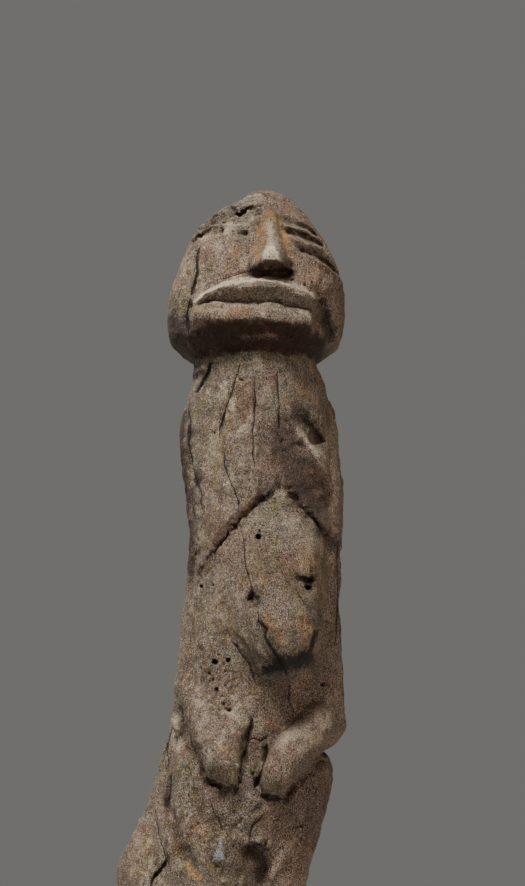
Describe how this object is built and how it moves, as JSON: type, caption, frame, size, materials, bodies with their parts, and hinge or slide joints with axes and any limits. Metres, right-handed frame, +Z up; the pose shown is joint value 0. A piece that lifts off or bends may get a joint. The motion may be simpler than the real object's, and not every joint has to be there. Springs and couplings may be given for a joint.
{
  "type": "carved statue",
  "caption": "Standing figure carved in weathered wood: domed head, wedge nose, wide mouth, pointed belly, hands below it, bent legs and a low round base.",
  "frame": {"origin": "near the middle of the flat underside of the round base, on the surface it stands on", "axes": "+Z up along the figure, the face looks along -Y, +X is the viewer's right when facing the figure"},
  "size_m": [0.1396, 0.1246, 0.5689],
  "materials": {
    "wood": "bare weathered wood, dry and matte, brown-grey with pale specks on one side and redder on the other, finely pitted, with drying cracks along the grain"
  },
  "bodies": {
    "root": {"figure": "wood"}
  },
  "joints": []
}
